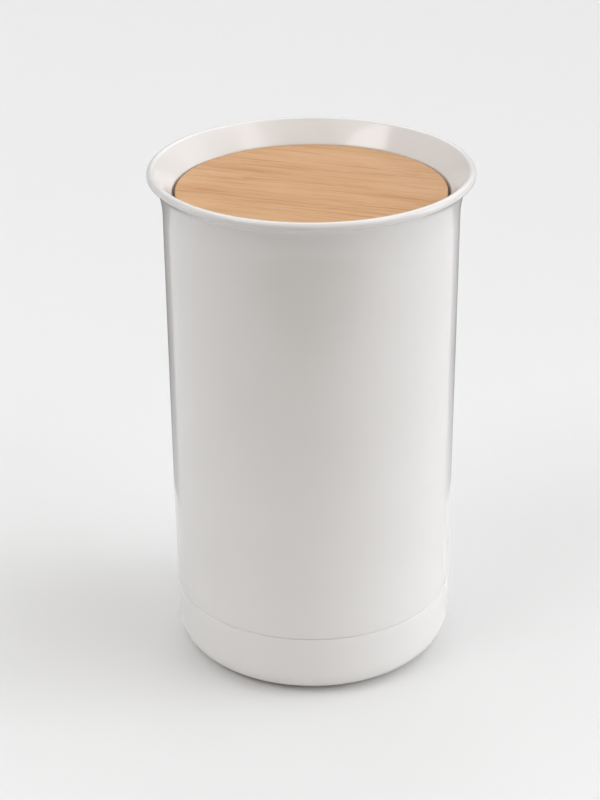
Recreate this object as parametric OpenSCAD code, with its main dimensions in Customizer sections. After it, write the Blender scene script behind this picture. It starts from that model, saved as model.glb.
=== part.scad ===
// Tall round bread bin: a glossy white shell with a flared rim, a push-on base cup with a
// crumb grid, and a round oak lid that sits inside the rim.
// Millimetres, +Z up. The origin is on the resting surface, on the bin's axis.

/* [Overall] */
// Height from the resting surface to the top of the rim
total_h = 341; // [320:1:360]
// Outside diameter of the body just below the rim
body_d = 191.2; // [188:0.2:194]
// Draft of the body, which narrows slightly downwards, in degrees
draft = 0.2; // [0:0.05:0.3]
// Thickness of the walls at the joint line
wall = 4.8; // [4.6:0.1:5.4]

/* [Rim] */
// Outside diameter of the rim
rim_d = 210; // [207:0.5:214]
// Thickness of the rounded lip
lip_t = 5.6; // [5:0.1:6]
// Radius of the long gentle curve where the body starts to flare
flare_r = 60; // [50:1:80]
// Angle the gentle curve turns through, in degrees
flare_turn = 18; // [15:1:22]
// Slope of the outside at the lip, in degrees from vertical
lip_slope = 60; // [57:1:63]
// Slope of the inside of the rim, in degrees from vertical
inner_slope = 37; // [35:1:40]
// Radius where the neck turns into the inner slope
neck_bend_r = 2; // [1.5:0.5:4]

/* [Neck and lid ledge] */
// Inside diameter of the neck around the lid
neck_d = 178.6; // [178:0.2:179.4]
// Depth of the lid ledge below the top of the rim
ledge_depth = 25; // [23:0.5:26]
// Inside diameter of the ledge that carries the lid
ledge_d = 170.6; // [169.6:0.2:171.6]
// Height of the straight edge of the ledge
ledge_t = 3; // [2:0.5:4]

/* [Base] */
// Height of the joint line between the base and the shell
seam_z = 45.4; // [42:0.2:50]
// Radius of the rounded bottom corner
base_corner_r = 17; // [16:1:24]
// Thickness of the base floor
floor_t = 4; // [3.5:0.5:5]
// Height of the upstand that plugs into the shell
upstand_h = 12; // [10:0.5:14]
// Thickness of the upstand
upstand_t = 2.3; // [2.2:0.1:2.4]
// Gap between the upstand and the shell
upstand_gap = 0.5; // [0.4:0.1:0.6]
// Radius of the base's edge at the joint line
base_edge_r = 1.2; // [0.6:0.1:1.5]
// Radius of the shell's edge at the joint line
shell_edge_r = 0.3; // [0.2:0.1:0.6]

/* [Crumb grid] */
// Height of the ribs that carry the grid, above the resting surface
rib_top = 22; // [21.5:0.5:26]
// Number of ribs
rib_n = 6; // [4:1:8]
// Thickness of a rib
rib_t = 3; // [2:0.5:4]
// Diameter of the grid
grid_d = 175; // [172:0.5:176]
// Thickness of the grid plate
grid_t = 2.4; // [2:0.1:3]
// Height of the grid's upturned edge
grid_edge_h = 8; // [6:1:12]
// Diameter of a crumb hole
crumb_hole_d = 6.4; // [5:0.2:7]
// Number of rings of crumb holes
crumb_rings = 5; // [3:1:5]
// Diameter of the finger hole in the middle
finger_hole_d = 24; // [22:1:26]

/* [Lid] */
// Diameter of the lid board
lid_d = 174.9; // [174:0.1:175.6]
// Thickness of the board above its step
lid_rim_t = 9; // [8:0.5:10]
// Depth of the stepped part below it
lid_step_h = 8; // [6:0.5:10]
// Diameter of the stepped part
lid_step_d = 166; // [164:0.5:166.5]
// Radius of the board's top edge
lid_edge_r = 1.2; // [0.8:0.1:2]
// Thickness of the silicone seal under the board's edge
lid_seal_t = 1.5; // [1:0.1:2]

/* [Feet] */
// Diameter of a foot pad
foot_d = 14; // [12:0.5:16]
// Distance of the foot pads from the axis
foot_ring_r = 64; // [61:1:66]
// How far the feet stand below the base
foot_proud = 1.2; // [1:0.1:1.5]
// Depth of the pockets that hold them
foot_pocket = 1; // [0.8:0.1:1.2]

/* [Hidden] */
$fn = 96;
arc_steps = 12;

// How far a shape runs into the one it joins, or a cutter past the face it cuts
overlap = 1;

// Rim: the lip is a half round, and the outside reaches it in two tangent arcs
top_r = body_d / 2;
lip_r = lip_t / 2;
lip_x = rim_d / 2 - lip_r;
lip_z = total_h - lip_r;
bend_x = top_r + flare_r * (cos(draft) - cos(flare_turn));
bend_end_x = lip_x + lip_r * cos(lip_slope);
bend_r = (bend_end_x - bend_x) / (cos(flare_turn) - cos(lip_slope));
bend_z = lip_z - lip_r * sin(lip_slope) - bend_r * (sin(lip_slope) - sin(flare_turn));
flare_z = bend_z - flare_r * (sin(flare_turn) - sin(draft));

// Body at the joint line, and the straight bore
body_r = top_r - (flare_z - seam_z) * tan(draft);
bore_r = body_r - wall;

// Neck and ledge
neck_r = neck_d / 2;
slope_in_x = lip_x - lip_r * cos(inner_slope) - neck_r - neck_bend_r * (1 - cos(inner_slope));
slope_in_z = slope_in_x / tan(inner_slope);
neck_top_z = lip_z + lip_r * sin(inner_slope) - slope_in_z - neck_bend_r * sin(inner_slope);
ledge_z = total_h - ledge_depth;
ledge_r = ledge_d / 2;
ledge_edge_r = 0.6;

// Joint between the shell and the base
upstand_r = bore_r + upstand_t;
socket_r = upstand_r + upstand_gap;
socket_clear = 0.6;
lead_in = 0.8;
base_z = foot_proud;
floor_z = base_z + floor_t;
corner_x = body_r - base_corner_r;
inner_corner_r = base_corner_r - wall;
recess_r = 52;
recess_h = 1;

// Seal in the upstand's groove, just clear of the shell
base_seal_h = 2.6;
base_seal_z = seam_z + upstand_h / 2;
groove_depth = 1;
groove_clear = 0.2;
base_seal_gap = 0.3;
base_seal_out_r = socket_r - base_seal_gap;
base_seal_in_r = upstand_r - groove_depth;

// Crumb grid
rib_in_r = 80;
rib_embed_r = inner_corner_r + wall / 2;
grid_r = grid_d / 2;
grid_edge_t = 2.4;
grid_fillet = 1;
ring_first_r = 24;
ring_pitch = 11.6;
ring_first_n = 12;
ring_step_n = 6;

// Lid
lid_bottom_z = ledge_z + lid_seal_t;
lid_top_z = lid_bottom_z + lid_rim_t;
lid_r = lid_d / 2;
lid_step_r = lid_step_d / 2;
lid_under_r = 0.8;
lid_step_chamfer = 1;
lid_seal_inset = 0.6;
seal_corner_r = 0.4;

// Feet
foot_edge_r = 0.5;
foot_gap = 0.3;
foot_n = 4;
foot_first_angle = 45;

// Points of an arc about (x, z), from angle a to angle b
function arc(x, z, r, a, b) =
    [for (i = [0:arc_steps]) let (t = a + (b - a) * i / arc_steps) [x + r * cos(t), z + r * sin(t)]];

// Body with the flared rim, the lid ledge inside the neck and the socket at the bottom
module shell() {
    outside = concat(
        arc(body_r - shell_edge_r, seam_z + shell_edge_r, shell_edge_r, -90, 0),
        arc(
            top_r + flare_r * cos(draft), flare_z - flare_r * sin(draft),
            flare_r, 180 - draft, 180 - flare_turn
        ),
        arc(
            bend_x + bend_r * cos(flare_turn), bend_z - bend_r * sin(flare_turn),
            bend_r, 180 - flare_turn, 180 - lip_slope
        )
    );
    lip = arc(lip_x, lip_z, lip_r, -lip_slope, 180 - inner_slope);
    neck = arc(neck_r + neck_bend_r, neck_top_z, neck_bend_r, 180 - inner_slope, 180);
    ledge = concat(
        [[neck_r, ledge_z]],
        arc(ledge_r + ledge_edge_r, ledge_z - ledge_edge_r, ledge_edge_r, 90, 180),
        [
            [ledge_r, ledge_z - ledge_t],
            [bore_r, ledge_z - ledge_t - (bore_r - ledge_r)]
        ]
    );
    socket_top_z = seam_z + upstand_h + socket_clear;
    socket = [
        [bore_r, socket_top_z],
        [socket_r, socket_top_z],
        [socket_r, seam_z + lead_in],
        [socket_r + lead_in, seam_z]
    ];
    color("white")
        rotate_extrude()
            polygon(concat(outside, lip, neck, ledge, socket));
}

// One rib that carries the crumb grid, drawn in the plane of the wall's section
module rib() {
    rotate([90, 0, 0])
        linear_extrude(height = rib_t, center = true) {
            intersection() {
                translate([corner_x, floor_z + inner_corner_r])
                    circle(r = rib_embed_r);
                translate([rib_in_r, 0])
                    square([corner_x + rib_embed_r - rib_in_r, floor_z + inner_corner_r]);
            }
            translate([rib_in_r, floor_z + inner_corner_r - overlap])
                square([bore_r + wall / 2 - rib_in_r, rib_top - floor_z - inner_corner_r + overlap]);
        }
}

// Puts its children where foot pad i sits
module at_foot(i)
    rotate([0, 0, foot_first_angle + 360 * i / foot_n])
        translate([foot_ring_r, 0, 0])
            children();

// Pocket for one foot pad in the underside
module foot_pocket_cut() {
    translate([0, 0, base_z - overlap])
        cylinder(d = foot_d + 2 * foot_gap, h = foot_pocket + overlap);
}

// Base with rounded corner, upstand with seal groove, grid ribs and foot pockets
module base_cup() {
    outside = concat(
        [[0, base_z + recess_h], [recess_r, base_z + recess_h], [recess_r + recess_h, base_z]],
        arc(corner_x, base_z + base_corner_r, base_corner_r, -90, 0),
        arc(body_r - base_edge_r, seam_z - base_edge_r, base_edge_r, 0, 90)
    );
    groove_low = base_seal_z - base_seal_h / 2 - groove_clear;
    groove_high = base_seal_z + base_seal_h / 2 + groove_clear;
    upstand = [
        [upstand_r, seam_z],
        [upstand_r, groove_low],
        [base_seal_in_r, groove_low],
        [base_seal_in_r, groove_high],
        [upstand_r, groove_high],
        [upstand_r, seam_z + upstand_h - lead_in],
        [upstand_r - lead_in, seam_z + upstand_h],
        [bore_r, seam_z + upstand_h]
    ];
    inside = concat(
        arc(corner_x, floor_z + inner_corner_r, inner_corner_r, 0, -90),
        [[0, floor_z]]
    );
    color("white")
        difference() {
            union() {
                rotate_extrude()
                    polygon(concat(outside, upstand, inside));
                for (i = [0:rib_n - 1])
                    rotate([0, 0, 360 * i / rib_n])
                        rib();
            }
            for (i = [0:foot_n - 1])
                at_foot(i)
                    foot_pocket_cut();
        }
}

// Silicone ring in the upstand's groove
module base_seal() {
    low = base_seal_z - base_seal_h / 2;
    high = base_seal_z + base_seal_h / 2;
    color("lightgrey")
        rotate_extrude()
            polygon(concat(
                [[base_seal_in_r, low]],
                arc(base_seal_out_r - seal_corner_r, low + seal_corner_r, seal_corner_r, -90, 0),
                arc(base_seal_out_r - seal_corner_r, high - seal_corner_r, seal_corner_r, 0, 90),
                [[base_seal_in_r, high]]
            ));
}

// Hole straight through the grid plate
module grid_hole_cut(hole_d) {
    translate([0, 0, rib_top - overlap])
        cylinder(d = hole_d, h = grid_t + 2 * overlap);
}

// Perforated plate that lets crumbs fall into the base, with an upturned edge
module crumb_grid() {
    edge_r = grid_edge_t / 2;
    color("gainsboro")
        difference() {
            rotate_extrude()
                polygon(concat(
                    [[0, rib_top]],
                    arc(grid_r - edge_r, rib_top + edge_r, edge_r, -90, 0),
                    arc(grid_r - edge_r, rib_top + grid_edge_h - edge_r, edge_r, 0, 180),
                    [
                        [grid_r - grid_edge_t, rib_top + grid_t + grid_fillet],
                        [grid_r - grid_edge_t - grid_fillet, rib_top + grid_t],
                        [0, rib_top + grid_t]
                    ]
                ));
            grid_hole_cut(finger_hole_d);
            for (ring = [0:crumb_rings - 1])
                let (hole_n = ring_first_n + ring_step_n * ring)
                    for (i = [0:hole_n - 1])
                        rotate([0, 0, 360 * i / hole_n])
                            translate([ring_first_r + ring_pitch * ring, 0, 0])
                                grid_hole_cut(crumb_hole_d);
        }
}

// Silicone pad, pressed into its pocket
module foot(i) {
    foot_r = foot_d / 2;
    color("silver")
        at_foot(i)
            rotate_extrude()
                polygon(concat(
                    [[0, 0]],
                    arc(foot_r - foot_edge_r, foot_edge_r, foot_edge_r, -90, 0),
                    [[foot_r, base_z + foot_pocket], [0, base_z + foot_pocket]]
                ));
}

// Turned oak board: its edge rests on the seal, and its step drops inside the ledge
module lid_board() {
    low_z = lid_bottom_z - lid_step_h;
    color("burlywood")
        rotate_extrude()
            polygon(concat(
                [
                    [0, low_z],
                    [lid_step_r - lid_step_chamfer, low_z],
                    [lid_step_r, low_z + lid_step_chamfer],
                    [lid_step_r, lid_bottom_z]
                ],
                arc(lid_r - lid_under_r, lid_bottom_z + lid_under_r, lid_under_r, -90, 0),
                arc(lid_r - lid_edge_r, lid_top_z - lid_edge_r, lid_edge_r, 0, 90),
                [[0, lid_top_z]]
            ));
}

// Flat silicone ring between the board's edge and the ledge
module lid_seal() {
    out_r = lid_r - lid_seal_inset;
    color("lightgrey")
        rotate_extrude()
            polygon(concat(
                [[lid_step_r, ledge_z]],
                arc(out_r - seal_corner_r, ledge_z + seal_corner_r, seal_corner_r, -90, 0),
                arc(out_r - seal_corner_r, lid_bottom_z - seal_corner_r, seal_corner_r, 0, 90),
                [[lid_step_r, lid_bottom_z]]
            ));
}

shell();
base_cup();
base_seal();
crumb_grid();
foot(0);  // foot_1
foot(1);  // foot_2
foot(2);  // foot_3
foot(3);  // foot_4
lid_board();
lid_seal();
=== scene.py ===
import math

import bmesh
import bpy
from mathutils import Matrix, Vector


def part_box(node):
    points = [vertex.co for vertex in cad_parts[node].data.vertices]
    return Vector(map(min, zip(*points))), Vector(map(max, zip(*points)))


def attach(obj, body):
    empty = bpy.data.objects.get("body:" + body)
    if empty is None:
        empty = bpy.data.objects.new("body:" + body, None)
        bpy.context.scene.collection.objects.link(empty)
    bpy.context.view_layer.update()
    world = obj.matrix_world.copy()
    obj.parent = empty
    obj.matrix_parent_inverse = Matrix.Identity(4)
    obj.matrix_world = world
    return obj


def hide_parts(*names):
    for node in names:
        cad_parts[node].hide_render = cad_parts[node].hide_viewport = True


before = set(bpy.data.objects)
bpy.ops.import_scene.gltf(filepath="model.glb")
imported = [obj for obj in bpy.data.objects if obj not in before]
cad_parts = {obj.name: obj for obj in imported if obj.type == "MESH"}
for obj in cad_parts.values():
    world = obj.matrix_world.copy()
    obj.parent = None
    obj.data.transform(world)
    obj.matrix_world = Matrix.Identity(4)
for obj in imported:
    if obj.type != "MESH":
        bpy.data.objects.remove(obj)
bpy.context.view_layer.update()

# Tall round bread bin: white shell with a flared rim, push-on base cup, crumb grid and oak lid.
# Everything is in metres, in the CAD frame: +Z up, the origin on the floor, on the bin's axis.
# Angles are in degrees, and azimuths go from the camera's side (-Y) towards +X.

MM = 0.001

# ---------------------------------------------------------------- sizes

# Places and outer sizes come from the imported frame
shell_low, shell_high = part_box("shell")
base_low, base_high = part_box("base_cup")
base_seal_low, base_seal_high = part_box("base_seal")
grid_low, grid_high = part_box("crumb_grid")
lid_low, lid_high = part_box("lid_board")
lid_seal_low, lid_seal_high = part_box("lid_seal")
foot_low, foot_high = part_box("foot_1")

rim_top = shell_high.z
rim_r = shell_high.x
seam_z = shell_low.z
foot_r = (foot_high.x - foot_low.x) / 2

# Details that the boxes don't give
TOP_R = 95.6 * MM
DRAFT = 0.2
WALL = 4.8 * MM
LIP_R = 2.8 * MM
FLARE_R = 60 * MM
FLARE_TURN = 18
LIP_SLOPE = 60
INNER_SLOPE = 37
NECK_BEND_R = 2 * MM
NECK_R = 89.3 * MM
LEDGE_R = 85.3 * MM
LEDGE_T = 3 * MM
SHELL_EDGE_R = 0.9 * MM
SOCKET_CLEAR = 0.6 * MM
UPSTAND_T = 2.3 * MM
UPSTAND_GAP = 0.5 * MM
LEAD_IN = 0.8 * MM
BASE_EDGE_R = 1.2 * MM
BASE_CORNER_R = 17 * MM
FLOOR_T = 4 * MM
RECESS_R = 52 * MM
RECESS_H = 1 * MM
GROOVE_DEPTH = 1 * MM
GROOVE_CLEAR = 0.2 * MM
RIB_N = 6
RIB_T = 3 * MM
RIB_IN_R = 80 * MM
RIB_FOOT_ANGLE = -66
RIB_EDGE_R = 0.5 * MM
FOOT_N = 4
FOOT_GAP = 0.3 * MM
FOOT_EDGE_R = 0.5 * MM
FOOT_GROOVE_RADII = (2.2 * MM, 4.4 * MM)
GRIP_W = 0.7 * MM
GRIP_D = 0.25 * MM
GRID_T = 2.4 * MM
GRID_EDGE_T = 2.4 * MM
GRID_FILLET = 1 * MM
GRID_FLANGE = 8 * MM
CRUMB_HOLE_R = 3.2 * MM
CRUMB_RINGS = 5
RING_FIRST_R = 24 * MM
RING_PITCH = 11.6 * MM
RING_FIRST_N = 12
RING_STEP_N = 6
FINGER_HOLE_R = 12 * MM
LID_EDGE_R = 1.2 * MM
LID_UNDER_R = 0.8 * MM
LID_STEP_R = 83 * MM
LID_STEP_CHAMFER = 1 * MM
SEAL_CORNER_R = 0.4 * MM
SEAL_GROOVE_D = 0.3 * MM
# The base's ring is so many lip radii high, and the valley between its lips lies so many inwards
BASE_SEAL_HEIGHT = 5
BASE_SEAL_VALLEY = 1.2
# The lid's ring has grooves in every second of these bands
LID_SEAL_BANDS = 7

# Mesh resolution, and the small radius that real moulded corners have
SEGMENTS = 288
SMALL_SEGMENTS = 48
LONGEST_SPAN = 9 * MM
SHARP_ANGLE = 32
EASE = 0.3 * MM
# The most that an eased corner takes of each side next to it
EASED_SHARE = 0.45
ON_AXIS = 1e-9
WELD = 1e-7


def sin(degrees):
    return math.sin(math.radians(degrees))


def cos(degrees):
    return math.cos(math.radians(degrees))


def tan(degrees):
    return math.tan(math.radians(degrees))


# ---------------------------------------------------------------- mesh helpers


def arc(x, z, r, start, end, steps=12):
    """Points of an arc about (x, z), from angle start to angle end."""
    angles = [start + (end - start) * i / steps for i in range(steps + 1)]
    return [(x + r * cos(a), z + r * sin(a)) for a in angles]


def eased(section, radius, closed=False, steps=3):
    """The section with each distinct corner rounded to the radius."""
    points = []
    for i, corner in enumerate(section):
        if not closed and i in (0, len(section) - 1):
            points.append(corner)
            continue
        here = Vector(corner)
        back = Vector(section[i - 1]) - here
        on = Vector(section[(i + 1) % len(section)]) - here
        bend = math.pi - back.angle(on)
        if bend < math.radians(SHARP_ANGLE):
            points.append(corner)
            continue
        reach = min(radius * math.tan(bend / 2), EASED_SHARE * back.length, EASED_SHARE * on.length)
        start = here + back.normalized() * reach
        end = here + on.normalized() * reach
        for k in range(steps + 1):
            t = k / steps
            point = start * (1 - t) ** 2 + here * 2 * t * (1 - t) + end * t ** 2
            points.append((point.x, point.y))
    return points


def with_short_spans(section, closed):
    """The section with its long straight stretches divided, so that faces stay even."""
    ends = section[1:] + section[:1] if closed else section[1:]
    points = []
    for (x0, z0), (x1, z1) in zip(section, ends):
        parts = max(1, math.ceil(math.hypot(x1 - x0, z1 - z0) / LONGEST_SPAN))
        points += [(x0 + (x1 - x0) * i / parts, z0 + (z1 - z0) * i / parts) for i in range(parts)]
    if not closed:
        points.append(section[-1])
    return points


def turn(bm, section, closed=False, segments=SEGMENTS, centre=(0, 0)):
    """Adds the surface that a section of (radius, height) points sweeps.

    Returns its first and last rows of vertices.
    """
    x, y = centre
    turns = [360 * k / segments for k in range(segments)]
    rows = []
    for r, z in with_short_spans(section, closed):
        if r < ON_AXIS:
            rows.append([bm.verts.new((x, y, z))] * segments)
        else:
            rows.append([bm.verts.new((x + r * cos(t), y + r * sin(t), z)) for t in turns])
    pairs = list(zip(rows, rows[1:]))
    if closed:
        pairs.append((rows[-1], rows[0]))
    for low, high in pairs:
        for k in range(segments):
            following = (k + 1) % segments
            corners = [low[k], low[following], high[following], high[k]]
            bm.faces.new(list(dict.fromkeys(corners)))
    return rows[0], rows[-1]


def fill_between(bm, rows):
    """Fills the flat region that the rows bound, holes left open."""
    edges = []
    for row in rows:
        for a, b in zip(row, row[1:] + row[:1]):
            edges.append(bm.edges.get((a, b)) or bm.edges.new((a, b)))
    bmesh.ops.triangle_fill(bm, edges=edges, use_beauty=True)


def link(name, mesh):
    obj = bpy.data.objects.new(name, mesh)
    bpy.context.scene.collection.objects.link(obj)
    return obj


def smooth(obj):
    """Smooth shading, with real corners kept sharp."""
    obj.data.shade_smooth()
    obj.data.set_sharp_from_angle(angle=math.radians(SHARP_ANGLE))
    return obj


def finished(name, bm):
    """Welds the parts of a mesh into one closed surface and makes it an object."""
    bmesh.ops.remove_doubles(bm, verts=bm.verts, dist=WELD)
    bmesh.ops.recalc_face_normals(bm, faces=bm.faces)
    mesh = bpy.data.meshes.new(name)
    bm.to_mesh(mesh)
    bm.free()
    return smooth(link(name, mesh))


def turned(name, section, segments=SEGMENTS, centre=(0, 0)):
    """Turned solid, whose section closes on the axis or on itself."""
    bm = bmesh.new()
    on_axis = section[0][0] < ON_AXIS and section[-1][0] < ON_AXIS
    turn(bm, section, not on_axis, segments, centre)
    return finished(name, bm)


def united(obj, tools):
    """Unites the tool solids with obj and removes them."""
    for tool in tools:
        modifier = obj.modifiers.new("unite", "BOOLEAN")
        modifier.operation = "UNION"
        modifier.solver = "EXACT"
        modifier.object = tool
    evaluated = obj.evaluated_get(bpy.context.evaluated_depsgraph_get())
    mesh = bpy.data.meshes.new_from_object(evaluated)
    obj.modifiers.clear()
    obj.data = mesh
    for tool in tools:
        bpy.data.objects.remove(tool)
    return smooth(obj)


# ---------------------------------------------------------------- pieces

# Outside of the shell: draft, gentle flare, tighter bend and rounded lip, each tangent to the next
lip_x = rim_r - LIP_R
lip_z = rim_top - LIP_R
bend_x = TOP_R + FLARE_R * (cos(DRAFT) - cos(FLARE_TURN))
bend_r = (lip_x + LIP_R * cos(LIP_SLOPE) - bend_x) / (cos(FLARE_TURN) - cos(LIP_SLOPE))
bend_z = lip_z - LIP_R * sin(LIP_SLOPE) - bend_r * (sin(LIP_SLOPE) - sin(FLARE_TURN))
flare_z = bend_z - FLARE_R * (sin(FLARE_TURN) - sin(DRAFT))

# Joint between the shell and the base
body_r = TOP_R - (flare_z - seam_z) * tan(DRAFT)
bore_r = body_r - WALL
upstand_r = bore_r + UPSTAND_T
socket_r = upstand_r + UPSTAND_GAP
groove_r = upstand_r - GROOVE_DEPTH


def shell_skin():
    """Body with the flared rim, the lid ledge inside the neck and the socket at the bottom."""
    outside = (
        arc(body_r - SHELL_EDGE_R, seam_z + SHELL_EDGE_R, SHELL_EDGE_R, -90, 0, steps=6)
        + arc(
            TOP_R + FLARE_R * cos(DRAFT), flare_z - FLARE_R * sin(DRAFT),
            FLARE_R, 180 - DRAFT, 180 - FLARE_TURN, steps=16,
        )
        + arc(
            bend_x + bend_r * cos(FLARE_TURN), bend_z - bend_r * sin(FLARE_TURN),
            bend_r, 180 - FLARE_TURN, 180 - LIP_SLOPE, steps=16,
        )[1:]
    )
    lip = arc(lip_x, lip_z, LIP_R, -LIP_SLOPE, 180 - INNER_SLOPE, steps=20)[1:]
    slope_in_x = lip_x - LIP_R * cos(INNER_SLOPE) - NECK_R - NECK_BEND_R * (1 - cos(INNER_SLOPE))
    neck_top_z = lip_z + (LIP_R - NECK_BEND_R) * sin(INNER_SLOPE) - slope_in_x / tan(INNER_SLOPE)
    neck = arc(NECK_R + NECK_BEND_R, neck_top_z, NECK_BEND_R, 180 - INNER_SLOPE, 180, steps=14)
    ledge_z = lid_seal_low.z
    inside = [
        neck[-1],
        (NECK_R, ledge_z),
        (LEDGE_R, ledge_z),
        (LEDGE_R, ledge_z - LEDGE_T),
        (bore_r, ledge_z - LEDGE_T - (bore_r - LEDGE_R)),
        (bore_r, base_high.z + SOCKET_CLEAR),
        (socket_r, base_high.z + SOCKET_CLEAR),
        (socket_r, seam_z + LEAD_IN),
        (socket_r + LEAD_IN, seam_z),
        outside[0],
    ]
    return turned("shell_skin", outside + lip + neck[:-1] + eased(inside, EASE)[:-1])


def foot_centre(i):
    """Centre of foot pad i on the plan."""
    low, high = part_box(f"foot_{i + 1}")
    return (low.x + high.x) / 2, (low.y + high.y) / 2


def rib(i):
    """One rib that carries the crumb grid: a rounded bar that runs up the inside of the cup."""
    outline = [
        (RIB_IN_R, grid_low.z),
        (bore_r + WALL / 2, grid_low.z),
        (bore_r + WALL / 2, base_low.z + BASE_CORNER_R),
    ]
    outline += arc(
        body_r - BASE_CORNER_R, base_low.z + BASE_CORNER_R,
        BASE_CORNER_R - WALL / 2, 0, RIB_FOOT_ANGLE, steps=8,
    )[1:]
    outline += [(RIB_IN_R, outline[-1][1])]
    bm = bmesh.new()
    face = bm.faces.new([bm.verts.new((x, -RIB_T / 2, z)) for x, z in outline])
    grown = bmesh.ops.extrude_face_region(bm, geom=[face])["geom"]
    moved = [v for v in grown if isinstance(v, bmesh.types.BMVert)]
    bmesh.ops.translate(bm, verts=moved, vec=(0, RIB_T, 0))
    inner = [e for e in bm.edges if all(v.co.x < RIB_IN_R + WELD for v in e.verts)]
    top = [e for e in bm.edges if all(v.co.z > grid_low.z - WELD for v in e.verts) and e not in inner]
    bmesh.ops.bevel(bm, geom=inner + top, offset=RIB_EDGE_R, segments=3, affect="EDGES")
    turned_by = Matrix.Rotation(math.tau * i / RIB_N, 3, "Z")
    bmesh.ops.rotate(bm, verts=bm.verts, cent=(0, 0, 0), matrix=turned_by)
    return finished(f"rib_{i}", bm)


def base_cup_skin():
    """Base with rounded corner, upstand with seal groove, grid ribs and foot pockets."""
    base_z = base_low.z
    floor_z = base_z + FLOOR_T
    corner_x = body_r - BASE_CORNER_R
    inner_corner_r = BASE_CORNER_R - WALL
    underside = [(0, base_z + RECESS_H), (RECESS_R, base_z + RECESS_H), (RECESS_R + RECESS_H, base_z)]
    outside = arc(corner_x, base_z + BASE_CORNER_R, BASE_CORNER_R, -90, 0, steps=24)
    outside += arc(body_r - BASE_EDGE_R, seam_z - BASE_EDGE_R, BASE_EDGE_R, 0, 90, steps=10)
    upstand = [
        outside[-1],
        (upstand_r, seam_z),
        (upstand_r, base_seal_low.z - GROOVE_CLEAR),
        (groove_r, base_seal_low.z - GROOVE_CLEAR),
        (groove_r, base_seal_high.z + GROOVE_CLEAR),
        (upstand_r, base_seal_high.z + GROOVE_CLEAR),
        (upstand_r, base_high.z - LEAD_IN),
        (upstand_r - LEAD_IN, base_high.z),
        (bore_r, base_high.z),
        (bore_r, floor_z + inner_corner_r),
    ]
    inside = arc(corner_x, floor_z + inner_corner_r, inner_corner_r, 0, -90, steps=20)[1:]
    inside.append((0, floor_z))
    pocket_r = foot_r + FOOT_GAP
    pocket = [
        (pocket_r + EASE, base_z),
        (pocket_r, base_z + EASE),
        (pocket_r, foot_high.z),
        (0, foot_high.z),
    ]
    bm = bmesh.new()
    rims = [turn(bm, eased(underside, EASE))[1]]
    rims.append(turn(bm, outside + eased(upstand, EASE)[1:] + inside)[0])
    for i in range(FOOT_N):
        rims.append(turn(bm, eased(pocket, EASE), segments=SMALL_SEGMENTS, centre=foot_centre(i))[0])
    fill_between(bm, rims)
    cup = finished("base_cup_skin", bm)
    return united(cup, [rib(i) for i in range(RIB_N)])


def foot_pad(i):
    """Silicone pad with a rounded edge and two shallow grip grooves."""
    tread = []
    for r in FOOT_GROOVE_RADII:
        inner = r - GRIP_W / 2
        outer = r + GRIP_W / 2
        tread += [(inner, 0), (inner, GRIP_D), (outer, GRIP_D), (outer, 0)]
    section = (
        [(0, 0)]
        + eased([(0, 0)] + tread + [(foot_r - FOOT_EDGE_R, 0)], GRIP_D)[1:-1]
        + arc(foot_r - FOOT_EDGE_R, FOOT_EDGE_R, FOOT_EDGE_R, -90, 0, steps=8)
        + [(foot_r, foot_high.z), (0, foot_high.z)]
    )
    return turned(f"foot_pad_{i + 1}", section, SMALL_SEGMENTS, foot_centre(i))


def base_seal_ring():
    """Silicone ring in the upstand's groove, with two soft lips."""
    low, high, out = base_seal_low.z, base_seal_high.z, base_seal_high.x
    lip_r = (high - low) / BASE_SEAL_HEIGHT
    valley = out - lip_r * BASE_SEAL_VALLEY
    section = [(groove_r, low), (valley, low)]
    section += arc(out - lip_r, low + lip_r, lip_r, -60, 80, steps=8)
    section += [(valley, (low + high) / 2)]
    section += arc(out - lip_r, high - lip_r, lip_r, -80, 60, steps=8)
    section += [(valley, high), (groove_r, high)]
    return turned("base_seal_ring", section)


def lid_seal_ring():
    """Flat silicone ring under the board's edge, grooved where it meets the ledge."""
    low, high, out = lid_seal_low.z, lid_seal_high.z, lid_seal_high.x
    band = (out - LID_STEP_R) / LID_SEAL_BANDS
    section = [(LID_STEP_R, high), (LID_STEP_R, low)]
    for k in range(1, LID_SEAL_BANDS - 1, 2):
        r = LID_STEP_R + band * k
        section += [(r, low), (r + band / 2, low + SEAL_GROOVE_D), (r + band, low)]
    section += [(out, low), (out, high)]
    return turned("lid_seal_ring", eased(section, SEAL_CORNER_R, closed=True))


def hole_centres():
    """Centres of the crumb holes, in rings round the finger hole."""
    for ring in range(CRUMB_RINGS):
        r = RING_FIRST_R + RING_PITCH * ring
        count = RING_FIRST_N + RING_STEP_N * ring
        for k in range(count):
            yield r * cos(360 * k / count), r * sin(360 * k / count)


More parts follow.
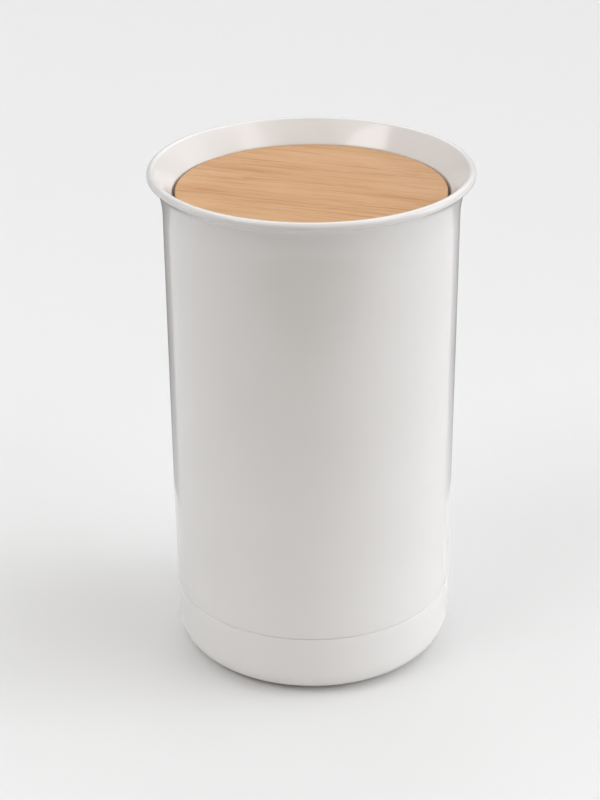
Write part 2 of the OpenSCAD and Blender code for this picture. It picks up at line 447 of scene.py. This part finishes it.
def crumb_grid_plate():
    """Perforated plate with an upturned edge. Every hole has softened rims."""
    low = grid_low.z
    top = low + GRID_T
    grid_r = grid_high.x
    edge_r = GRID_EDGE_T / 2
    edge = (
        [(grid_r - GRID_FLANGE, low)]
        + arc(grid_r - edge_r, low + edge_r, edge_r, -90, 0, steps=8)
        + arc(grid_r - edge_r, grid_high.z - edge_r, edge_r, 0, 180, steps=14)
        + arc(grid_r - GRID_EDGE_T - GRID_FILLET, top + GRID_FILLET, GRID_FILLET, 0, -90, steps=6)
        + [(grid_r - GRID_FLANGE, top)]
    )
    bm = bmesh.new()
    ends = [turn(bm, edge)]
    holes = [(FINGER_HOLE_R, (0, 0), 2 * SMALL_SEGMENTS)]
    holes += [(CRUMB_HOLE_R, centre, SMALL_SEGMENTS // 2) for centre in hole_centres()]
    for r, centre, segments in holes:
        wall = arc(r + EASE, low + EASE, EASE, -90, -180, steps=3)
        wall += arc(r + EASE, top - EASE, EASE, 180, 90, steps=3)
        ends.append(turn(bm, wall, segments=segments, centre=centre))
    fill_between(bm, [first for first, last in ends])
    fill_between(bm, [last for first, last in ends])
    return finished("crumb_grid_plate", bm)


def oak_lid():
    """Turned board: its edge rests on the seal, and its step drops inside the ledge."""
    lid_r = lid_high.x
    low_z = lid_low.z
    seal_z = lid_seal_high.z
    underside = [
        (0, low_z),
        (LID_STEP_R - LID_STEP_CHAMFER, low_z),
        (LID_STEP_R, low_z + LID_STEP_CHAMFER),
        (LID_STEP_R, seal_z),
        (lid_r - LID_UNDER_R, seal_z),
    ]
    section = (
        eased(underside, EASE)
        + arc(lid_r - LID_UNDER_R, seal_z + LID_UNDER_R, LID_UNDER_R, -90, 0, steps=8)[1:]
        + arc(lid_r - LID_EDGE_R, lid_high.z - LID_EDGE_R, LID_EDGE_R, 0, 90, steps=12)
        + [(0, lid_high.z)]
    )
    return turned("oak_lid", section)


# ---------------------------------------------------------------- materials


class Nodes:
    """Short way to add linked nodes to a material's or world's tree."""

    def __init__(self, tree):
        self.tree = tree

    def add(self, kind, inputs=None, **settings):
        node = self.tree.nodes.new(kind)
        for key, value in settings.items():
            setattr(node, key, value)
        for key, value in (inputs or {}).items():
            if isinstance(value, bpy.types.NodeSocket):
                self.tree.links.new(value, node.inputs[key])
            else:
                node.inputs[key].default_value = value
        return node

    def math(self, operation, *values):
        return self.add("ShaderNodeMath", dict(enumerate(values)), operation=operation).outputs[0]

    def vector(self, operation, *values):
        return self.add("ShaderNodeVectorMath", dict(enumerate(values)), operation=operation).outputs[0]

    def place(self):
        """Coordinates on the object, in metres."""
        return self.add("ShaderNodeTexCoord").outputs["Object"]

    def noise(self, vector, scale, detail, output="Fac"):
        inputs = {"Vector": vector, "Scale": scale, "Detail": detail}
        return self.add("ShaderNodeTexNoise", inputs).outputs[output]

    def figure(self, grain, figure, output="Fac"):
        """Noise drawn out along the grain, from repeats per metre along and across it, and detail."""
        along, across, detail = figure
        drawn = self.add("ShaderNodeMapping", {"Vector": grain, "Scale": (along, across, across)})
        return self.noise(drawn.outputs[0], 1.0, detail, output)

    def ramp(self, value, low, high, start=0.0, end=1.0):
        """start at low, end at high, and straight in between."""
        inputs = {"Value": value, "From Min": low, "From Max": high, "To Min": start, "To Max": end}
        return self.add("ShaderNodeMapRange", inputs).outputs[0]

    def blend(self, share, first, second):
        """Mixes two colours, each a socket or three numbers."""
        colours = [c if isinstance(c, bpy.types.NodeSocket) else (*c, 1) for c in (first, second)]
        node = self.add("ShaderNodeMix", {0: share, 6: colours[0], 7: colours[1]}, data_type="RGBA")
        return node.outputs[2]

    def bump(self, height, strength, distance):
        inputs = {"Height": height, "Strength": strength, "Distance": distance}
        return self.add("ShaderNodeBump", inputs).outputs["Normal"]

    def surface(self, kind, inputs):
        """Adds the shader and connects it to the material's output."""
        shader = self.add(kind, inputs)
        self.add("ShaderNodeOutputMaterial", {"Surface": shader.outputs[0]})


def new_material(name):
    material = bpy.data.materials.new(name)
    material.use_nodes = True
    material.node_tree.nodes.clear()
    return material, Nodes(material.node_tree)


# A noise's values mostly lie between these
NOISE_LOW = 0.3
NOISE_HIGH = 0.7

# Pitches are in repeats per metre, and a peel is as deep as the texture's bumps
WHITE_TONE = (0.811, 0.797, 0.788)
WHITE_ROUGHNESS = 0.14
WHITE_PEEL_PITCH = 420
WHITE_PEEL = 0.002 * MM
GRID_TONE = (0.78, 0.775, 0.77)
GRID_ROUGHNESS = 0.42
GRID_PEEL_PITCH = 900
GRID_PEEL = 0.01 * MM
MOTTLE_PITCH = 14
MOTTLE_TONE = 0.975
MOTTLE_GLOSS = 0.08
PLASTIC_IOR = 1.5


def plastic(name, tone, roughness, peel_pitch, peel):
    """Moulded plastic: faint mottling of tone and gloss, and a fine orange peel."""
    material, n = new_material(name)
    place = n.place()
    mottle = n.ramp(n.noise(place, MOTTLE_PITCH, 3.0), NOISE_LOW, NOISE_HIGH)
    deeper = tuple(MOTTLE_TONE * c for c in tone)
    n.surface(
        "ShaderNodeBsdfPrincipled",
        {
            "Base Color": n.blend(mottle, deeper, tone),
            "Roughness": n.ramp(
                mottle, 0.0, 1.0, roughness * (1 + MOTTLE_GLOSS), roughness * (1 - MOTTLE_GLOSS)
            ),
            "Normal": n.bump(n.noise(place, peel_pitch, 2.0), 1.0, peel),
            "IOR": PLASTIC_IOR,
        },
    )
    return material


OAK_LIGHT = (0.640, 0.378, 0.191)
OAK_DARK = (0.562, 0.302, 0.132)
OAK_LINE = (0.42, 0.185, 0.062)
OAK_ROUGHNESS_DARK = 0.62
OAK_ROUGHNESS_LIGHT = 0.5
OAK_IOR = 1.45
GRAIN_AZIMUTH = 18
# Each kind of figure: repeats per metre along the grain and across it, and detail
DRIFT_FIGURE = (7, 30, 2)
RIPPLE_FIGURE = (70, 120, 2)
CLOUD_FIGURE = (9, 45, 2)
STREAK_FIGURE = (22, 380, 3)
LINE_FIGURE = (14, 460, 1)
FIBRE_FIGURE = (90, 3200, 2)
# How far the grain wanders from straight
DRIFT = 4 * MM
RIPPLE = 0.8 * MM
RING_WIDTH = 1.7 * MM
# The tree's heart lies well outside the board
HEART = (0, 0.22, 0.14)
# How much each figure lightens the wood, and the sums at which the wood is darkest and lightest
CLOUD_SHARE = 0.6
STREAK_SHARE = 0.8
FIBRE_SHARE = 0.6
RING_SHARE = 0.1
DARK_SUM = 0.8
LIGHT_SUM = 1.3
# Pore lines start and are full at these values of their figure, and gather where the clouds are dark
PORE_START = 0.57
PORE_FULL = 0.67
PORE_GATHER = 0.35
PORE_SHARE = 0.48
PORE_DEPTH = 0.08 * MM
FIBRE_RISE = 0.5
OAK_BUMP = 0.6


def oak(name):
    """Oiled oak: growth rings, streaks and fibres along the grain, and fine dark pore lines."""
    material, n = new_material(name)
    turned_place = {"Vector": n.place(), "Rotation": (0, 0, math.radians(GRAIN_AZIMUTH))}
    grain = n.add("ShaderNodeMapping", turned_place).outputs[0]
    for figure, reach in ((DRIFT_FIGURE, DRIFT), (RIPPLE_FIGURE, RIPPLE)):
        shift = n.vector("SUBTRACT", n.figure(grain, figure, "Color"), (0.5, 0.5, 0.5))
        grain = n.vector("MULTIPLY_ADD", shift, (2 * reach, 2 * reach, 2 * reach), grain)
    cloud = n.figure(grain, CLOUD_FIGURE)
    streak = n.figure(grain, STREAK_FIGURE)
    fibre = n.figure(grain, FIBRE_FIGURE)
    line = n.figure(grain, LINE_FIGURE)

    across_heart = n.vector("MULTIPLY", n.vector("SUBTRACT", grain, HEART), (0, 1, 1))
    radius = n.add("ShaderNodeVectorMath", {0: across_heart}, operation="LENGTH").outputs["Value"]
    ring = n.math("DIVIDE", n.math("PINGPONG", radius, RING_WIDTH), RING_WIDTH)

    total = n.math("MULTIPLY", cloud, CLOUD_SHARE)
    for part, share in ((streak, STREAK_SHARE), (fibre, FIBRE_SHARE), (ring, RING_SHARE)):
        total = n.math("MULTIPLY_ADD", part, share, total)
    light = n.ramp(total, DARK_SUM, LIGHT_SUM)
    gathered = n.math("MULTIPLY_ADD", n.math("SUBTRACT", 0.5, cloud), PORE_GATHER, line)
    pores = n.ramp(gathered, PORE_START, PORE_FULL)
    face = n.blend(light, OAK_DARK, OAK_LIGHT)
    height = n.math("SUBTRACT", n.math("MULTIPLY", fibre, FIBRE_RISE), pores)
    n.surface(
        "ShaderNodeBsdfPrincipled",
        {
            "Base Color": n.blend(n.math("MULTIPLY", pores, PORE_SHARE), face, OAK_LINE),
            "Roughness": n.ramp(light, 0.0, 1.0, OAK_ROUGHNESS_DARK, OAK_ROUGHNESS_LIGHT),
            "Normal": n.bump(height, OAK_BUMP, PORE_DEPTH),
            "IOR": OAK_IOR,
        },
    )
    return material


SEAL_TONE = (0.66, 0.66, 0.65)
FOOT_TONE = (0.52, 0.52, 0.52)
SILICONE_CLOUD_PITCH = 60
SILICONE_CLOUD_TONE = 0.93
SILICONE_GRAIN_PITCH = 1800
SILICONE_GRAIN = 0.04 * MM
SILICONE_BUMP = 0.6
SILICONE_ROUGHNESS_LOW = 0.5
SILICONE_ROUGHNESS_HIGH = 0.6
SILICONE_IOR = 1.41
SILICONE_DEPTH_SHARE = 0.15
SILICONE_DEPTH = 2 * MM
SILICONE_SHEEN = 0.08


def silicone(name, tone):
    """Silicone rubber: soft sheen, faint cloudiness and a fine satin texture."""
    material, n = new_material(name)
    place = n.place()
    cloud = n.noise(place, SILICONE_CLOUD_PITCH, 2.0)
    grain = n.noise(place, SILICONE_GRAIN_PITCH, 1.0)
    deeper = tuple(SILICONE_CLOUD_TONE * c for c in tone)
    n.surface(
        "ShaderNodeBsdfPrincipled",
        {
            "Base Color": n.blend(cloud, deeper, tone),
            "Roughness": n.ramp(
                cloud, NOISE_LOW, NOISE_HIGH, SILICONE_ROUGHNESS_LOW, SILICONE_ROUGHNESS_HIGH
            ),
            "Normal": n.bump(grain, SILICONE_BUMP, SILICONE_GRAIN),
            "IOR": SILICONE_IOR,
            "Subsurface Weight": SILICONE_DEPTH_SHARE,
            "Subsurface Radius": (SILICONE_DEPTH, SILICONE_DEPTH, SILICONE_DEPTH),
            "Sheen Weight": SILICONE_SHEEN,
        },
    )
    return material


# ---------------------------------------------------------------- stage

# The table ends near the front of the bin, and the apron carries the floor on, just below it
PAPER_TONE = (0.812, 0.812, 0.812)
PAPER_ROUGHNESS = 0.9
TABLE_HALF = 6
TABLE_FRONT = 0.62
ROOM_HALF = 10
APRON_DROP = 0.5 * MM
BACKDROP_GLOW = 0.85
CORNERS = ((-1, -1), (1, -1), (1, 1), (-1, 1))


def toward(azimuth, elevation):
    """Unit vector from the bin in that direction."""
    return Vector((sin(azimuth) * cos(elevation), -cos(azimuth) * cos(elevation), sin(elevation)))


def stage_mesh(name, points, faces, material):
    mesh = bpy.data.meshes.new(name)
    mesh.from_pydata(points, [], faces)
    mesh.materials.append(material)
    obj = link(name, mesh)
    return obj


def seen_only_by(obj, ray):
    """Leaves obj visible to one kind of ray: "camera" or "glossy"."""
    for kind in ("camera", "diffuse", "glossy", "transmission", "shadow"):
        setattr(obj, f"visible_{kind}", kind == ray)


def paper_material():
    material, n = new_material("paper")
    n.surface(
        "ShaderNodeBsdfPrincipled",
        {"Base Color": (*PAPER_TONE, 1), "Roughness": PAPER_ROUGHNESS, "Specular IOR Level": 0.0},
    )
    return material


def glow_material(name, glow, foot_glow=None, fade=None):
    """White emission. With foot_glow it has that strength at the floor, and fades to glow above it."""
    material, n = new_material(name)
    strength = glow
    if foot_glow is not None:
        height = n.add("ShaderNodeSeparateXYZ", {"Vector": n.place()}).outputs["Z"]
        strength = n.ramp(height, 0, fade, foot_glow, glow)
    n.surface("ShaderNodeEmission", {"Strength": strength})
    return material


def studio_floor():
    """Pale paper. The bin sees it end in front of it, where the camera still sees the apron."""
    paper = paper_material()
    table = [
        (-TABLE_HALF, -TABLE_FRONT, 0),
        (TABLE_HALF, -TABLE_FRONT, 0),
        (TABLE_HALF, TABLE_HALF, 0),
        (-TABLE_HALF, TABLE_HALF, 0),
    ]
    stage_mesh("table", table, [(0, 1, 2, 3)], paper)
    apron = [(x * ROOM_HALF, y * ROOM_HALF, -APRON_DROP) for x, y in CORNERS]
    seen_only_by(stage_mesh("apron", apron, [(0, 1, 2, 3)], paper), "camera")


def backdrop():
    """Pale room round the stage, seen only by the camera, for low views."""
    room = [(x * ROOM_HALF, y * ROOM_HALF, z) for z in (0, ROOM_HALF) for x, y in CORNERS]
    ceiling = (4, 5, 6, 7)
    walls = [(k, (k + 1) % 4, (k + 1) % 4 + 4, k + 4) for k in range(4)]
    white = glow_material("backdrop_white", BACKDROP_GLOW)
    seen_only_by(stage_mesh("backdrop", room, [ceiling] + walls, white), "camera")


# The edge card is part of an upright tube round the bin, between two azimuths
CARD_R = 0.25
CARD_H = 0.29
CARD_FROM = 122
CARD_TO = 238
CARD_STEPS = 24
# It is dark at the top, and about half as bright as the floor at its foot
CARD_GLOW = 0.1
CARD_FOOT_GLOW = 0.45
CARD_FADE = 0.12


def edge_card():
    """Grey card behind the bin, seen only in its gloss, which draws the edges of the white body."""
    points = []
    for k in range(CARD_STEPS + 1):
        foot = toward(CARD_FROM + (CARD_TO - CARD_FROM) * k / CARD_STEPS, 0) * CARD_R
        points += [foot, foot + Vector((0, 0, CARD_H))]
    faces = [(2 * k, 2 * k + 2, 2 * k + 3, 2 * k + 1) for k in range(CARD_STEPS)]
    grey = glow_material("card_grey", CARD_GLOW, CARD_FOOT_GLOW, CARD_FADE)
    seen_only_by(stage_mesh("edge_card", points, faces, grey), "glossy")


# The soft light is a little warm all round and from the camera's side, and a little cool elsewhere
WARM = (1.05, 0.96, 0.85)
COOL = (0.984, 1.012, 1.047)
AMBIENT = 0.19
# Share of a glow's half angle that has its full strength
GLOW_CORE = 0.36
# Glows of the soft light. Name: azimuth, elevation, half angle, strength, tint
GLOWS = {
    "front": (0, 38, 22, 0.85, WARM),
    "front_right": (55, 38, 22, 1.2, COOL),
    "right_low": (90, 14, 18, 6.3, COOL),
    "right_high": (95, 62, 22, 2.6, COOL),
    "right_back": (115, 28, 18, 0.75, COOL),
    "back_right": (150, 34, 22, 1.0, COOL),
    "back": (180, 38, 22, 1.6, COOL),
    "back_left_high": (-125, 62, 22, 1.85, COOL),
    "left_low": (-90, 14, 18, 2.3, COOL),
    "front_left": (-52, 54, 22, 1.45, COOL),
}


def studio_world():
    world = bpy.data.worlds.new("studio")
    world.use_nodes = True
    world.node_tree.nodes.clear()
    n = Nodes(world.node_tree)
    direction = n.add("ShaderNodeTexCoord").outputs["Generated"]
    total = [AMBIENT * part for part in WARM]
    for azimuth, elevation, half_angle, strength, tint in GLOWS.values():
        facing = n.add(
            "ShaderNodeVectorMath", {0: direction, 1: toward(azimuth, elevation)}, operation="DOT_PRODUCT"
        ).outputs["Value"]
        glow = n.add(
            "ShaderNodeMapRange",
            {
                "Value": facing,
                "From Min": cos(half_angle),
                "From Max": cos(GLOW_CORE * half_angle),
                "To Max": strength,
            },
            interpolation_type="SMOOTHSTEP",
        )
        total = n.vector("MULTIPLY_ADD", glow.outputs["Result"], tint, total)
    light = n.add("ShaderNodeBackground", {"Color": total})
    n.add("ShaderNodeOutputWorld", {"Surface": light.outputs[0]})
    bpy.context.scene.world = world


# Softboxes on both sides. Name: azimuth, elevation, distance, width, height, power in watts
SOFTBOXES = {
    "softbox_right": (61, 48, 4.0, 1.00, 0.90, 4.0),
    "softbox_left": (-58, 49, 4.0, 1.84, 0.90, 20.0),
    "softbox_near": (60, 20, 1.0, 0.6, 0.8, 0.7),
}


def softbox(name, azimuth, elevation, distance, width, height, power):
    lamp = bpy.data.lights.new(name, "AREA")
    lamp.shape = "RECTANGLE"
    lamp.size = width
    lamp.size_y = height
    lamp.energy = power
    obj = bpy.data.objects.new(name, lamp)
    bpy.context.scene.collection.objects.link(obj)
    offset = toward(azimuth, elevation) * distance
    obj.location = Vector((0, 0, rim_top / 2)) + offset
    obj.rotation_mode = "QUATERNION"
    obj.rotation_quaternion = (-offset).to_track_quat("-Z", "Y")
    obj.visible_camera = False


# Camera: in front of the bin, looking down on it
CAMERA_ELEVATION = 26.0
CAMERA_DISTANCE = 1.3347
CAMERA_LENS = 89.04
CAMERA_ROLL = -0.22
CAMERA_SHIFT = (-0.0153, 0.0082)


def camera():
    data = bpy.data.cameras.new("camera")
    data.lens = CAMERA_LENS
    data.shift_x, data.shift_y = CAMERA_SHIFT
    obj = bpy.data.objects.new("camera", data)
    bpy.context.scene.collection.objects.link(obj)
    back = toward(0, CAMERA_ELEVATION)
    obj.location = Vector((0, 0, rim_top / 2)) + back * CAMERA_DISTANCE
    obj.rotation_euler = (-back).to_track_quat("-Z", "Y").to_euler()
    obj.rotation_euler.rotate_axis("Z", math.radians(CAMERA_ROLL))
    bpy.context.scene.camera = obj


# ---------------------------------------------------------------- build

white = plastic("white_gloss", WHITE_TONE, WHITE_ROUGHNESS, WHITE_PEEL_PITCH, WHITE_PEEL)
grid_white = plastic("grid_satin", GRID_TONE, GRID_ROUGHNESS, GRID_PEEL_PITCH, GRID_PEEL)
wood = oak("oak_oiled")
seal_grey = silicone("silicone_pale", SEAL_TONE)
foot_grey = silicone("silicone_grey", FOOT_TONE)


def add_piece(obj, body, slot, material, *nodes):
    obj.data.materials.clear()
    obj.data.materials.append(material)
    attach(obj, body)
    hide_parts(*nodes)


add_piece(shell_skin(), "shell", "body_white", white, "shell")
add_piece(base_cup_skin(), "base", "body_white", white, "base_cup")
add_piece(base_seal_ring(), "base", "silicone_seal", seal_grey, "base_seal")
for i in range(FOOT_N):
    add_piece(foot_pad(i), "base", "silicone_foot", foot_grey, f"foot_{i + 1}")
add_piece(crumb_grid_plate(), "grid", "grid_plastic", grid_white, "crumb_grid")
add_piece(oak_lid(), "lid", "oak", wood, "lid_board")
add_piece(lid_seal_ring(), "lid", "silicone_seal", seal_grey, "lid_seal")

studio_floor()
backdrop()
edge_card()
studio_world()
for name, values in SOFTBOXES.items():
    softbox(name, *values)
camera()
bpy.context.scene.view_settings.view_transform = "Standard"
bpy.context.scene.view_settings.look = "None"
